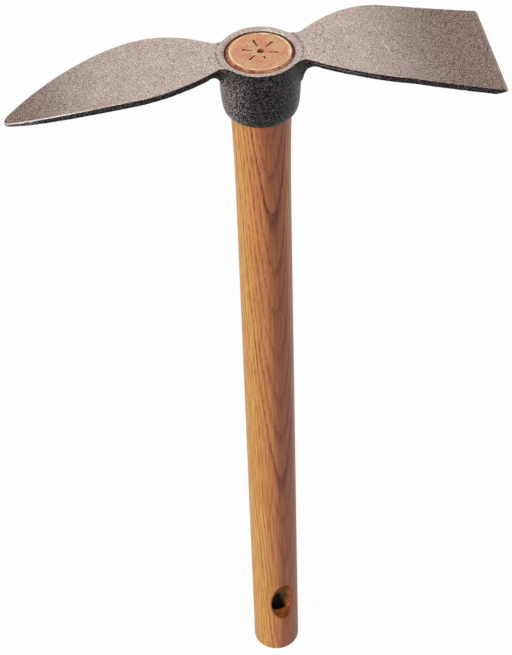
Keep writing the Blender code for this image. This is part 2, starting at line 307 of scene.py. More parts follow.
def pointed_blade_form():
    """Leaf-shaped blade: full shoulder, arched flanks, a narrow point, curved down all along."""
    shoulder = (POINT_WIDEST_AT, POINT_WIDTH / 2)
    tip = (POINT_REACH, POINT_TIP_WIDTH / 2)
    pull = TIP_PULL * (tip[0] - shoulder[0])
    outline = neck_outline(POINT_NECK_WIDTH / 2, shoulder, 0)
    outline += bezier(
        shoulder, (shoulder[0] + pull, shoulder[1]),
        (tip[0] - pull, tip[1] + POINT_TIP_SLOPE * pull), tip, 90)
    outline = [point for point in outline if point[0] <= POINT_REACH - 0.6 * POINT_TIP_ROUNDING]
    for share in (0.5, 0.3, 0.15, 0.05, 0):
        outline.append((POINT_REACH - share * POINT_TIP_ROUNDING, tip[1]))
    rings = []
    for reach, half in outline:
        into_tip = max(1 - (POINT_REACH - reach) / POINT_TIP_ROUNDING, 0)
        half -= POINT_TIP_ROUNDING * (1 - math.sqrt(1 - into_tip ** 2))
        share = max(reach - NECK_REACH, 0) / (POINT_REACH - NECK_REACH)
        thinned = (POINT_ROOT_THICKNESS - POINT_TIP_THICKNESS) * share ** POINT_THINNING_POWER
        thickness = POINT_ROOT_THICKNESS - thinned
        drop = droop(reach, POINT_BEND_FROM, POINT_REACH, POINT_BEND_SLOPE, POINT_REACH, 0)
        section = blade_section(half, HEAD_TOP + FACE_RISE - drop, thickness, gusset(reach))
        rings.append([(-reach, y, z) for y, z in section])
    return skin("pointed_blade", rings)


def square_blade_form():
    """Square blade: sloping shoulders, nearly straight sides, an end ground thin from below."""
    shoulder = (SQUARE_SHOULDER_AT, SQUARE_SHOULDER_WIDTH / 2)
    side_slope = (SQUARE_END_WIDTH / 2 - shoulder[1]) / (SQUARE_REACH - shoulder[0])
    outline = neck_outline(SQUARE_NECK_WIDTH / 2, shoulder, side_slope)
    steps = 56
    corner_start = SQUARE_REACH - SQUARE_CORNER_RADIUS
    for i in range(steps):
        reach = shoulder[0] + (corner_start - shoulder[0]) * i / steps
        outline.append((reach, shoulder[1] + side_slope * (reach - shoulder[0])))
    for i in range(9):
        turn = math.radians(90 * i / 8)
        reach = corner_start + SQUARE_CORNER_RADIUS * math.sin(turn)
        half = shoulder[1] + side_slope * (reach - shoulder[0])
        outline.append((reach, half - SQUARE_CORNER_RADIUS * (1 - math.cos(turn))))
    rings = []
    for reach, half in outline:
        ground = max(reach - (SQUARE_REACH - SQUARE_GRIND_LENGTH), 0) / SQUARE_GRIND_LENGTH
        land = max(reach - (SQUARE_REACH - SQUARE_LAND_WIDTH), 0) / SQUARE_LAND_WIDTH * SQUARE_LAND_DROP
        thickness = SQUARE_THICKNESS + (SQUARE_EDGE_THICKNESS - SQUARE_THICKNESS) * ground
        drop = droop(reach, SQUARE_BEND_FROM, SQUARE_BEND_TO, SQUARE_BEND_SLOPE,
                     SQUARE_REACH, SQUARE_END_SLOPE)
        section = blade_section(half, HEAD_TOP + FACE_RISE - drop - land, thickness - land, gusset(reach))
        rings.append([(reach, y, z) for y, z in section])
    return skin("square_blade", rings)


def relax(points, edges, weight, rounds):
    """Draw every point towards the middle of its neighbours, by its weight, a number of rounds."""
    count = len(points)
    neighbours = np.bincount(edges.ravel(), minlength=count)
    for _ in range(rounds):
        middle = np.empty_like(points)
        for axis in range(3):
            middle[:, axis] = (
                np.bincount(edges[:, 0], points[edges[:, 1], axis], count)
                + np.bincount(edges[:, 1], points[edges[:, 0], axis], count))
        points += (middle / neighbours[:, None] - points) * weight[:, None]
    return points


def read_points(mesh, what="co"):
    """The mesh's points, or with what="normal" their normals, as rows of x, y, z."""
    values = np.empty(3 * len(mesh.vertices))
    mesh.vertices.foreach_get(what, values)
    return values.reshape(-1, 3)


def write_points(mesh, points):
    mesh.vertices.foreach_set("co", points.ravel())
    mesh.update()


def write_attribute(mesh, name, values):
    """Give each point of the mesh a number that its material reads."""
    attribute = mesh.attributes.new(name, "FLOAT", "POINT")
    attribute.data.foreach_set("value", values.astype(np.float32))


def ramp(values, start, end):
    """0 before the start, 1 past the end and even between; the end may be the lower of the two."""
    return np.clip((values - start) / (end - start), 0, 1)


forged_head = collar_form()
combine(forged_head, pointed_blade_form(), "UNION")
combine(forged_head, square_blade_form(), "UNION")
combine(forged_head, eye_form(), "DIFFERENCE")
forged_head.name = "forged_head_finish"

skin_grid = forged_head.modifiers.new("Skin", "REMESH")
skin_grid.mode = "VOXEL"
skin_grid.voxel_size = SKIN_GRID
head_mesh = finished_mesh(forged_head)

# The dies leave wide fillets where the blades' roots meet the collar; the rest is only eased a little.
points = read_points(head_mesh)
edges = np.empty(2 * len(head_mesh.edges), dtype=np.int64)
head_mesh.edges.foreach_get("vertices", edges)
edges = edges.reshape(-1, 2)
points = relax(points, edges, np.full(len(points), SKIN_EASING), SKIN_EASING_ROUNDS)
reach = np.hypot(points[:, 0], points[:, 1])
beside = ramp(np.abs(points[:, 0]), 10 * MM, 14 * MM)
outside = ramp(reach, 18.5 * MM, 19.5 * MM) * ramp(reach, 32 * MM, 26 * MM)
below = ramp(points[:, 2], HEAD_TOP - 1.6 * MM, HEAD_TOP - 2.6 * MM)
points = relax(points, edges, FILLET_EASING * beside * outside * below, FILLET_EASING_ROUNDS)

# A faint ring struck into the blades' roots by the die that shears the flash off round the eye.
reach = np.hypot(points[:, 0], points[:, 1])
on_top = ramp(points[:, 2], HEAD_TOP - 1.5 * MM, HEAD_TOP - 1 * MM)
ring_mark = np.exp(-((reach - RIM_FACE_RADIUS) / RING_MARK_WIDTH) ** 2)
points[:, 2] -= RING_MARK_DEPTH * on_top * ring_mark
write_points(head_mesh, points)

# The dies' parting line, a low ridge half way down the edges of the square blade's root.
face_drop = np.array([
    droop(x, SQUARE_BEND_FROM, SQUARE_BEND_TO, SQUARE_BEND_SLOPE, SQUARE_REACH, SQUARE_END_SLOPE)
    if x > 0 else droop(-x, POINT_BEND_FROM, POINT_REACH, POINT_BEND_SLOPE, POINT_REACH, 0)
    for x in points[:, 0]])
below_face = HEAD_TOP + FACE_RISE * (reach > RIM_FACE_RADIUS) - face_drop - points[:, 2]
normals = read_points(head_mesh, "normal")
on_side = np.abs(normals[:, 2]) < 0.6
along_root = ramp(points[:, 0], 23 * MM, 26 * MM) * ramp(points[:, 0], 58 * MM, 44 * MM)
ridge = np.exp(-((below_face - PARTING_LINE_DEPTH) / PARTING_LINE_WIDTH) ** 2) * along_root * on_side
points += normals * (PARTING_LINE_HEIGHT * ridge)[:, None]

# One shallow scratch across the square blade's face.
scratch_start, scratch_end = np.array(SCRATCH_START), np.array(SCRATCH_END)
scratch_run = scratch_end - scratch_start
from_start = points[:, :2] - scratch_start
share = np.clip(from_start @ scratch_run / (scratch_run @ scratch_run), 0, 1)
off_scratch = np.linalg.norm(from_start - share[:, None] * scratch_run, axis=1)
scratch = np.exp(-(off_scratch / SCRATCH_WIDTH) ** 2) * (below_face < 0.3 * MM)
points[:, 2] -= SCRATCH_DEPTH * scratch
write_points(head_mesh, points)

# Hammer-soft waves and the pitted grain of shot-blasting, as relief in the skin itself.
for wave_name, wave_length, wave_height in (
        ("Forged waves", FORGED_WAVE_LENGTH, FORGED_WAVE_HEIGHT),
        ("Blasted grain", BLASTED_GRAIN_LENGTH, BLASTED_GRAIN_HEIGHT)):
    waves = bpy.data.textures.new(wave_name, "CLOUDS")
    waves.noise_scale = wave_length
    waves.noise_depth = 1
    relief = forged_head.modifiers.new(wave_name, "DISPLACE")
    relief.texture = waves
    relief.texture_coords = "LOCAL"
    relief.strength = wave_height
    relief.mid_level = 0.6
head_mesh = finished_mesh(forged_head)

# The relief stays under the forging's own top.
points = read_points(head_mesh)
points[:, 2] = np.minimum(points[:, 2], HEAD_TOP + FACE_RISE)
write_points(head_mesh, points)
head_mesh.shade_smooth()

# How far each point lies under the level of the upper faces, in millimetres, for the finish. The
# eye's chamfer counts as a part of the face.
below_face -= SQUARE_LAND_DROP * ramp(points[:, 0], SQUARE_REACH - SQUARE_LAND_WIDTH, SQUARE_REACH)
below_face[(reach < 19 * MM) & (below_face < EYE_CHAMFER)] *= 0.1
write_attribute(head_mesh, "below_face", below_face / MM)

# How bright the steel is made: a painted highlight along the top of the point's edge wholly; worn
# bare, the scratch across the square blade's face and its ground end in part, the parting line a little.
# Painted highlight: a bright line along the top of the point's edge.
point_rim_highlight = (
    ramp(points[:, 0], -80 * MM, -102 * MM)
    * ramp(below_face, 0.05 * MM, 0.15 * MM) * ramp(below_face, 0.65 * MM, 0.5 * MM))
ground_end = ramp(points[:, 0], SQUARE_REACH - 1.6 * MM, SQUARE_REACH - 1.1 * MM)
bare_and_highlight = np.maximum.reduce([point_rim_highlight, 0.65 * scratch, 0.32 * ground_end, 0.13 * ridge])
write_attribute(head_mesh, "wear_and_highlight", bare_and_highlight)

# Shot-blasted, clear-lacquered tool steel: matt and warm grey on the upper faces, which the blast
# reached and the light falls on, with painted shade towards the blades' bent ends; near-black on the
# rest, partly forge scale and partly painted shade, with painted light on the collar's left. Both grains
# are really half as wide, and are drawn coarser so that they show.
GRAIN = 0.54 * MM
SCALE_GRAIN = 0.78 * MM
CLOUD = 11 * MM
RING_DASH = 3 * MM

blasted_steel, tree, output = new_material("blasted_lacquered_steel")
place = add_node(tree, "ShaderNodeTexCoord").outputs
spot = add_node(tree, "ShaderNodeSeparateXYZ", {0: place["Object"]}).outputs
below = add_node(tree, "ShaderNodeAttribute", attribute_name="below_face").outputs["Fac"]
# Upper faces are light, the blast's steel where the light falls; the rest is dark, partly forge scale and
# partly painted shade.
blasted_and_lit = add_node(
    tree, "ShaderNodeMapRange", {"Value": below, "From Min": 0.34, "From Max": 0.12},
    interpolation_type="SMOOTHSTEP").outputs["Result"]
# Painted shade: both blades' bent ends get darker face colours, because they tilt away from the light.
point_end = add_node(
    tree, "ShaderNodeMapRange", {"Value": spot["X"], "From Min": -74 * MM, "From Max": -125 * MM},
    interpolation_type="SMOOTHSTEP").outputs["Result"]
square_end = add_node(
    tree, "ShaderNodeMapRange", {"Value": spot["X"], "From Min": 48 * MM, "From Max": 101 * MM},
    interpolation_type="SMOOTHSTEP").outputs["Result"]
shaded_end = add_node(
    tree, "ShaderNodeMath", {0: point_end, 1: square_end}, operation="MAXIMUM").outputs[0]
grain = add_node(
    tree, "ShaderNodeTexNoise",
    {"Vector": place["Object"], "Scale": 1 / GRAIN, "Detail": 3.0, "Roughness": 0.7}).outputs["Fac"]
cloud = add_node(
    tree, "ShaderNodeTexNoise",
    {"Vector": place["Object"], "Scale": 1 / CLOUD, "Detail": 3.0}).outputs["Fac"]
face_light = add_node(
    tree, "ShaderNodeMix",
    {0: shaded_end, 6: linear("#DFD2CB"), 7: linear("#C4B1A9")}, data_type="RGBA").outputs[2]
face_dark = add_node(
    tree, "ShaderNodeMix",
    {0: shaded_end, 6: linear("#897F7A"), 7: linear("#3C312F")}, data_type="RGBA").outputs[2]
grain_contrast = add_node(
    tree, "ShaderNodeMapRange", {"Value": grain, "From Min": 0.41, "From Max": 0.59}).outputs["Result"]
face = add_node(
    tree, "ShaderNodeMix", {0: grain_contrast, 6: face_dark, 7: face_light}, data_type="RGBA").outputs[2]
cloud_tint = add_node(
    tree, "ShaderNodeMix",
    {0: cloud, 6: linear("#E8DEDA"), 7: linear("#FFFAF6")}, data_type="RGBA").outputs[2]
face = add_node(
    tree, "ShaderNodeMix",
    {0: 1.0, 6: face, 7: cloud_tint}, data_type="RGBA", blend_type="MULTIPLY").outputs[2]
scale_grain = add_node(
    tree, "ShaderNodeTexNoise",
    {"Vector": place["Object"], "Scale": 1 / SCALE_GRAIN, "Detail": 2.0}).outputs["Fac"]
# Painted light: lighter grains on the collar's left, which faces the left softbox; painted shade dims them
# under the blades' roots.
painted_left_light = add_node(
    tree, "ShaderNodeMapRange", {"Value": spot["X"], "From Min": -6 * MM, "From Max": -19 * MM},
    interpolation_type="SMOOTHSTEP").outputs["Result"]
on_collar = add_node(
    tree, "ShaderNodeMapRange",
    {"Value": spot["X"], "From Min": -27 * MM, "From Max": -22 * MM}).outputs["Result"]
painted_left_light = add_node(
    tree, "ShaderNodeMath", {0: painted_left_light, 1: on_collar}, operation="MULTIPLY").outputs[0]
shade_under_root = add_node(
    tree, "ShaderNodeMapRange",
    {"Value": spot["Z"], "From Min": HEAD_TOP - 3 * MM, "From Max": HEAD_TOP - 10 * MM, "To Min": 0.25},
    interpolation_type="SMOOTHSTEP").outputs["Result"]
painted_left_light = add_node(
    tree, "ShaderNodeMath", {0: painted_left_light, 1: shade_under_root}, operation="MULTIPLY").outputs[0]
bright_grain = add_node(
    tree, "ShaderNodeMix",
    {0: painted_left_light, 6: linear("#4C4647"), 7: linear("#9C8C8A")}, data_type="RGBA").outputs[2]
dark_grain = add_node(
    tree, "ShaderNodeMix",
    {0: painted_left_light, 6: linear("#090909"), 7: linear("#1A1717")}, data_type="RGBA").outputs[2]
scale_contrast = add_node(
    tree, "ShaderNodeMapRange",
    {"Value": scale_grain, "From Min": 0.46, "From Max": 0.61}).outputs["Result"]
scale_black = add_node(
    tree, "ShaderNodeMix",
    {0: scale_contrast, 6: dark_grain, 7: bright_grain}, data_type="RGBA").outputs[2]
scale_grey = add_node(
    tree, "ShaderNodeMix",
    {0: scale_contrast, 6: linear("#0A0909"), 7: linear("#A09894")}, data_type="RGBA").outputs[2]
tip_edge = add_node(
    tree, "ShaderNodeMapRange", {"Value": spot["X"], "From Min": -108 * MM, "From Max": -125 * MM},
    interpolation_type="SMOOTHSTEP").outputs["Result"]
scale = add_node(
    tree, "ShaderNodeMix", {0: tip_edge, 6: scale_black, 7: scale_grey}, data_type="RGBA").outputs[2]
colour = add_node(
    tree, "ShaderNodeMix", {0: blasted_and_lit, 6: scale, 7: face}, data_type="RGBA").outputs[2]

# The eye's wall is painted brown, a painted reflection of the wood in it, and the ring round the eye
# gets dark dashes of painted shade in its groove. What is worn bare is bright, and so is the painted
# highlight on the top of the point's edge.
from_axis = add_node(
    tree, "ShaderNodeVectorMath",
    {0: place["Object"], 1: (1.0, 1.0, 0.0)}, operation="MULTIPLY").outputs[0]
off_axis = add_node(tree, "ShaderNodeVectorMath", {0: from_axis}, operation="LENGTH").outputs["Value"]
# Painted reflection: the eye's wall takes the brown of the wood that it reflects.
eye_wall_reflection = add_node(
    tree, "ShaderNodeMapRange",
    {"Value": off_axis, "From Min": EYE_TOP_RADIUS + 0.25 * MM,
     "From Max": EYE_TOP_RADIUS - 0.05 * MM}).outputs["Result"]
colour = add_node(
    tree, "ShaderNodeMix", {0: eye_wall_reflection, 6: colour, 7: linear("#A07A64")}, data_type="RGBA").outputs[2]
from_ring = add_node(
    tree, "ShaderNodeMath", {0: off_axis, 1: RIM_FACE_RADIUS}, operation="SUBTRACT").outputs[0]
from_ring = add_node(tree, "ShaderNodeMath", {0: from_ring}, operation="ABSOLUTE").outputs[0]
# Painted shade: dark dashes in the groove of the ring round the eye.
ring_groove_shade = add_node(
    tree, "ShaderNodeMapRange",
    {"Value": from_ring, "From Min": 0.7 * MM, "From Max": 0.2 * MM}).outputs["Result"]
dash_noise = add_node(
    tree, "ShaderNodeTexNoise",
    {"Vector": place["Object"], "Scale": 1 / RING_DASH, "Detail": 1.0}).outputs["Fac"]
dashes = add_node(
    tree, "ShaderNodeMapRange",
    {"Value": dash_noise, "From Min": 0.48, "From Max": 0.60, "To Max": 0.5}).outputs["Result"]
ring_groove_shade = add_node(tree, "ShaderNodeMath", {0: ring_groove_shade, 1: dashes}, operation="MULTIPLY").outputs[0]
ring_groove_shade = add_node(tree, "ShaderNodeMath", {0: ring_groove_shade, 1: blasted_and_lit}, operation="MULTIPLY").outputs[0]
colour = add_node(
    tree, "ShaderNodeMix", {0: ring_groove_shade, 6: colour, 7: linear("#4A3F3B")}, data_type="RGBA").outputs[2]
# Bare steel and the painted highlight on the point's edge turn bright.
wear_and_highlight = add_node(tree, "ShaderNodeAttribute", attribute_name="wear_and_highlight").outputs["Fac"]
colour = add_node(
    tree, "ShaderNodeMix", {0: wear_and_highlight, 6: colour, 7: linear("#CFC8C2")}, data_type="RGBA").outputs[2]
gloss = add_node(
    tree, "ShaderNodeMapRange",
    {"Value": grain, "From Min": 0.3, "From Max": 0.7, "To Min": 0.55, "To Max": 0.38}).outputs["Result"]
gloss = add_node(tree, "ShaderNodeMix", {0: blasted_and_lit, 2: 0.33, 3: gloss}).outputs[0]
roughcast = add_node(
    tree, "ShaderNodeMapRange",
    {"Value": blasted_and_lit, "To Min": 1.1 * MM, "To Max": 0.28 * MM}).outputs["Result"]
height = add_node(tree, "ShaderNodeMix", {0: blasted_and_lit, 2: scale_grain, 3: grain}).outputs[0]
relief = add_node(
    tree, "ShaderNodeBump",
    {"Height": height, "Distance": roughcast}).outputs["Normal"]

# Seen nearly edge on, the blast's fine pits keep the upper faces from turning mirror-white.
grazing_tint = add_node(
    tree, "ShaderNodeMix",
    {0: blasted_and_lit, 6: linear("#FFFFFF"), 7: linear("#868A8E")}, data_type="RGBA").outputs[2]
shader = add_node(
    tree, "ShaderNodeBsdfPrincipled",
    {"Base Color": colour, "Metallic": 1.0, "Roughness": gloss, "Specular Tint": grazing_tint,
     "Normal": relief})
tree.links.new(shader.outputs[0], output.inputs[0])
head_mesh.materials.clear()
head_mesh.materials.append(blasted_steel)

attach(forged_head, "root")
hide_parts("forged_head")

# Ash handle
# One turned stick of ash, straight-grained, oiled. The head passes over its butt and jams on the
# taper at its top; a hang hole, countersunk on both sides, goes through near the butt.
HANDLE_LENGTH = 450 * MM
BUTT_RADIUS = 13.4 * MM
GRIP_TOP_RADIUS = 14.3 * MM
FLARE_LENGTH = 75 * MM
BUTT_ROUNDING = 2.7 * MM
EYE_CLEARANCE = 0.3 * MM
TOP_CHAMFER_WIDTH = 2.0 * MM
TOP_CHAMFER_DROP = 1.4 * MM
FLAT_END_RADII = (15.65 * MM, 15.25 * MM)
FLAT_END_MIDDLE = (0.35 * MM, 0.1 * MM)

HANG_HOLE_HEIGHT = 39.2 * MM
HANG_HOLE_RADIUS = 6.4 * MM
HANG_HOLE_TURN = math.radians(13)
HANG_HOLE_SLOPE = math.radians(8)
COUNTERSINK_DEPTH = 5.75 * MM
COUNTERSINK_ANGLE = math.radians(55)
MOUTH_EASE = 0.5 * MM
MOUTH_NARROWING = 0.66
HOLE_REGION = 24 * MM
HOLE_AXIS = np.array((
    math.sin(HANG_HOLE_TURN) * math.cos(HANG_HOLE_SLOPE),
    -math.cos(HANG_HOLE_TURN) * math.cos(HANG_HOLE_SLOPE), math.sin(HANG_HOLE_SLOPE)))
HOLE_SIDEWAYS = np.array((math.cos(HANG_HOLE_TURN), math.sin(HANG_HOLE_TURN), 0))

# The drive centre's marks in the top end: a cone, and six slits given as (angle in degrees, outer end's
# distance, outer end's width as a share of the slit's).
MARKS_MIDDLE = Vector((0.55 * MM, 0.35 * MM, 0))
CENTRE_MARK_RADIUS = 1.7 * MM
CENTRE_MARK_DEPTH = 2.5 * MM
SPUR_INNER = 4.3 * MM
SPUR_WIDTH = 1.15 * MM
SPUR_DEPTH = 1.2 * MM
SPURS = (
    (-18, 9.4 * MM, 1.0), (42, 9.8 * MM, 1.7), (102, 9.8 * MM, 1.7),
    (162, 9.4 * MM, 1.4), (222, 9.2 * MM, 1.0), (282, 6.4 * MM, 1.5))

COLUMNS = 256
FINE_ROW = 0.35 * MM
LONG_ROW = 2.0 * MM


def handle_profile():
    """(radius, height) rows of the handle's side and ends, from the butt's middle to the top's."""
    flare_bottom = COLLAR_BOTTOM - FLARE_LENGTH
    top_radius = eye_radius(HANDLE_LENGTH) - EYE_CLEARANCE
    neck_radius = eye_radius(COLLAR_BOTTOM) - EYE_CLEARANCE
    eye_slope = (EYE_TOP_RADIUS - EYE_BOTTOM_RADIUS) / EYE_HEIGHT
    grip_slope = (GRIP_TOP_RADIUS - BUTT_RADIUS) / flare_bottom
    flat_radius = BUTT_RADIUS - BUTT_ROUNDING
    rows = [(flat_radius * share, 0) for share in (0.1, 0.4, 0.7)]
    rows += arc((flat_radius, BUTT_ROUNDING), (BUTT_ROUNDING, BUTT_ROUNDING), -90, 0, 10)
    height = BUTT_ROUNDING
    while height < flare_bottom - LONG_ROW:
        near_hole = abs(height - HANG_HOLE_HEIGHT) < HOLE_REGION
        height += FINE_ROW if near_hole else LONG_ROW
        rows.append((BUTT_RADIUS + grip_slope * height, height))
    pull = FLARE_LENGTH / 3
    rows += bezier(
        (GRIP_TOP_RADIUS, flare_bottom), (GRIP_TOP_RADIUS + grip_slope * pull, flare_bottom + pull),
        (neck_radius - eye_slope * pull, COLLAR_BOTTOM - pull), (neck_radius, COLLAR_BOTTOM), 40)
    chamfer_bottom = HANDLE_LENGTH - TOP_CHAMFER_DROP
    for i in range(17):
        height = COLLAR_BOTTOM + (chamfer_bottom - COLLAR_BOTTOM) * i / 17
        rows.append((neck_radius + eye_slope * (height - COLLAR_BOTTOM), height))
    rows += [(top_radius, chamfer_bottom), (top_radius - TOP_CHAMFER_WIDTH, HANDLE_LENGTH)]
    rows += [(top_radius * share, HANDLE_LENGTH) for share in (0.75, 0.5, 0.3, 0.15)]
    return rows


def countersunk(points):
    """Pull the points round the hang hole in to the two countersinks, with an eased mouth.

    Each point moves level towards the handle's axis, to the depth at which a search that halves its
    span each time finds the cone's wall. A smooth minimum of that depth and the side's eases the mouth."""
    side = np.abs(points[:, 2] - HANG_HOLE_HEIGHT) < HOLE_REGION
    outward = points[side]
    full = np.hypot(outward[:, 0], outward[:, 1])
    outward[:, :2] /= full[:, None]
    grip_radius = BUTT_RADIUS + (GRIP_TOP_RADIUS - BUTT_RADIUS) * HANG_HOLE_HEIGHT / HANDLE_LENGTH
    cone_start = grip_radius - COUNTERSINK_DEPTH
    low, high = np.full(len(full), cone_start - 2 * MM), np.full(len(full), 40 * MM)
    for _ in range(40):
        middle = (low + high) / 2
        place = outward.copy()
        place[:, :2] *= middle[:, None]
        place[:, 2] -= HANG_HOLE_HEIGHT
        along = place @ HOLE_AXIS
        across = place @ HOLE_SIDEWAYS / MOUTH_NARROWING
        off = np.hypot(across, (place - along[:, None] * HOLE_AXIS)[:, 2] / math.cos(HANG_HOLE_SLOPE))
        open_there = off < HANG_HOLE_RADIUS + (np.abs(along) - cone_start) * math.tan(COUNTERSINK_ANGLE)
        high = np.where(open_there, middle, high)
        low = np.where(open_there, low, middle)
    blend = np.clip(0.5 + 0.5 * (high - full) / MOUTH_EASE, 0, 1)
    eased = high + (full - high) * blend - MOUTH_EASE * blend * (1 - blend)
    points[side, :2] = outward[:, :2] * eased[:, None]
    return points


ash_handle = turned("ash_handle_finish", handle_profile(), COLUMNS)
points = countersunk(read_points(ash_handle.data))

# The end was sanded by hand, so its chamfer is narrower on the right.
flat_end = points[:, 2] > HANDLE_LENGTH - 0.01 * MM
turned_radius = eye_radius(HANDLE_LENGTH) - EYE_CLEARANCE - TOP_CHAMFER_WIDTH
for axis in (0, 1):
    points[flat_end, axis] *= FLAT_END_RADII[axis] / turned_radius
    points[flat_end, axis] += FLAT_END_MIDDLE[axis]
write_points(ash_handle.data, points)

bore = turned("bore", [(HANG_HOLE_RADIUS, 2 * MM * step) for step in range(-10, 11)], 128)
bore.matrix_world = (
    Matrix.Translation((0, 0, HANG_HOLE_HEIGHT))
    @ Matrix.Rotation(HANG_HOLE_TURN, 4, "Z")
    @ Matrix.Rotation(math.pi / 2 - HANG_HOLE_SLOPE, 4, "X"))
combine(ash_handle, bore, "DIFFERENCE")

above = 1 * MM
centre_top = CENTRE_MARK_RADIUS * (1 + above / CENTRE_MARK_DEPTH)
centre_mark = turned("centre_mark", [
    (centre_top, HANDLE_LENGTH + above), (0.05 * MM, HANDLE_LENGTH - CENTRE_MARK_DEPTH)], 48)
centre_mark.location = MARKS_MIDDLE
combine(ash_handle, centre_mark, "DIFFERENCE")
for angle, outer, end_width in SPURS:
    turn = Matrix.Rotation(math.radians(angle), 3, "Z")
    middle, half_length = (SPUR_INNER + outer) / 2, (outer - SPUR_INNER) / 2
    corners = (
        (-1, -0.6), (0.4, -0.8), (0.8, -end_width), (1, 0),
        (0.8, end_width), (0.4, 0.8), (-1, 0.6))
    rings = []
    for share, half_width in ((1, 1.1 * SPUR_WIDTH / 2), (-1, 0.7 * SPUR_WIDTH / 2)):
        height = HANDLE_LENGTH + share * SPUR_DEPTH
        slit = [Vector((middle + u * half_length, v * half_width, height)) for u, v in corners]
        rings.append([MARKS_MIDDLE + turn @ corner for corner in slit])
    combine(ash_handle, skin("spur_mark", rings), "DIFFERENCE")
handle_mesh = ash_handle.data
handle_mesh.shade_smooth()
handle_mesh.set_sharp_from_angle(angle=math.radians(24))

# How dark each point of the hole is painted, oil-darkened end grain in part and painted shade in part:
# the countersinks less on their right and the bore less on its upper right wall, which face the left
# softbox and are left lit.
points = read_points(handle_mesh)
from_hole = points - np.array((0, 0, HANG_HOLE_HEIGHT))
side_depth = BUTT_RADIUS + 0.07 * MM - np.hypot(points[:, 0], points[:, 1])
in_cut = ramp(side_depth, 0.15 * MM, 0.65 * MM) * (np.abs(from_hole[:, 2]) < HOLE_REGION)
along = from_hole @ HOLE_AXIS
across = from_hole @ HOLE_SIDEWAYS
off_bore = np.sqrt(np.maximum((from_hole ** 2).sum(axis=1) - along ** 2, 0))
bore_wall = ramp(off_bore, HANG_HOLE_RADIUS + 0.6 * MM, HANG_HOLE_RADIUS + 0.2 * MM)
lit_upper_wall = ramp(0.87 * across + 0.5 * from_hole[:, 2], -1 * MM, 2 * MM)
lit_right_side = ramp(across, 3 * MM, 6 * MM)
write_attribute(
    handle_mesh, "countersunk", in_cut * (1 - 0.8 * lit_right_side) * (1 - bore_wall * lit_upper_wall))
write_attribute(handle_mesh, "bore_oil_and_shade", in_cut * bore_wall * (1 - 0.95 * lit_upper_wall))

# Oiled ash: warm, half-matt, yellow on the sapwood side and red-brown on the heart side, with wide
# growth rings whose open pores are dark dashes along the grain. The cut end is paler. The pith lay
# outside the stick, before it on the right, and leans to it, so the rings are cut as nested arches.
# Real pores are 0.3 mm wide; they are drawn coarser so that they show.
RING_SPACING = 2.1 * MM
PITH_AT_BUTT = (20.9 * MM, -58.7 * MM)
PITH_AT_TOP = (3.7 * MM, -34.8 * MM)
HEART_ACROSS = 0.74
HEART_LEAN = -1.27
HEART_FORWARD = -0.9
GRAIN_WANDER = 2.4 * MM
GRAIN_WANDER_LENGTH = 12 * MM
STRONG_YEAR = 13
STRONG_EVERY = 6
PORE_WIDTH = 0.5 * MM
PORE_LENGTH = 3.5 * MM
FIBRE_WIDTH = 0.8 * MM
FIBRE_LENGTH = 18 * MM
END_PATCH = 6 * MM
END_MOTTLE = 0.9 * MM

oiled_ash, tree, output = new_material("oiled_ash")
place = add_node(tree, "ShaderNodeTexCoord").outputs
spot = add_node(tree, "ShaderNodeSeparateXYZ", {0: place["Object"]}).outputs
lean_x, lean_y = [
    add_node(
        tree, "ShaderNodeMath", {0: spot["Z"], 1: (at_butt - at_top) / HANDLE_LENGTH, 2: spot[axis]},
        operation="MULTIPLY_ADD").outputs[0]
    for axis, at_butt, at_top in zip("XY", PITH_AT_BUTT, PITH_AT_TOP)]
from_pith = add_node(tree, "ShaderNodeCombineXYZ", {"X": lean_x, "Y": lean_y}).outputs[0]
pith_distance = add_node(
    tree, "ShaderNodeVectorMath", {0: from_pith, 1: (*PITH_AT_BUTT, 0)},
    operation="DISTANCE").outputs["Value"]
bend_place = add_node(
    tree, "ShaderNodeVectorMath",
    {0: place["Object"], 1: (1.0, 1.0, 0.22)}, operation="MULTIPLY").outputs[0]
bend = add_node(
    tree, "ShaderNodeTexNoise",
    {"Vector": bend_place, "Scale": 1 / GRAIN_WANDER_LENGTH, "Detail": 3.0}).outputs["Fac"]
bent_distance = add_node(
    tree, "ShaderNodeMath", {0: bend, 1: GRAIN_WANDER, 2: pith_distance},
    operation="MULTIPLY_ADD").outputs[0]
ring_count = add_node(
    tree, "ShaderNodeMath", {0: bent_distance, 1: RING_SPACING}, operation="DIVIDE").outputs[0]
ring = add_node(tree, "ShaderNodeMath", {0: ring_count}, operation="FRACT").outputs[0]
year = add_node(tree, "ShaderNodeMath", {0: ring_count}, operation="FLOOR").outputs[0]

# Years differ at random in the sapwood; in the red wood every sixth is strong. Heartwood lies beyond a
# plane that leans across the handle.
year_strength = add_node(
    tree, "ShaderNodeTexWhiteNoise", {"W": year}, noise_dimensions="1D").outputs["Value"]
year_strength = add_node(
    tree, "ShaderNodeMapRange", {"Value": year_strength, "To Min": 0.2}).outputs["Result"]
year_turn = 2 * math.pi / STRONG_EVERY
strong_year = add_node(
    tree, "ShaderNodeMath", {0: year, 1: year_turn, 2: -STRONG_YEAR * year_turn},
    operation="MULTIPLY_ADD").outputs[0]
strong_year = add_node(tree, "ShaderNodeMath", {0: strong_year}, operation="COSINE").outputs[0]
strong_year = add_node(
    tree, "ShaderNodeMapRange",
    {"Value": strong_year, "From Min": 0.3, "From Max": 1.0, "To Min": 0.15}).outputs["Result"]
heart_lean = add_node(
    tree, "ShaderNodeMath", {0: spot["Z"], 1: HEART_LEAN, 2: HEART_ACROSS},
    operation="MULTIPLY_ADD").outputs[0]
heart_x = add_node(tree, "ShaderNodeMath", {0: spot["X"], 1: heart_lean}, operation="MULTIPLY").outputs[0]
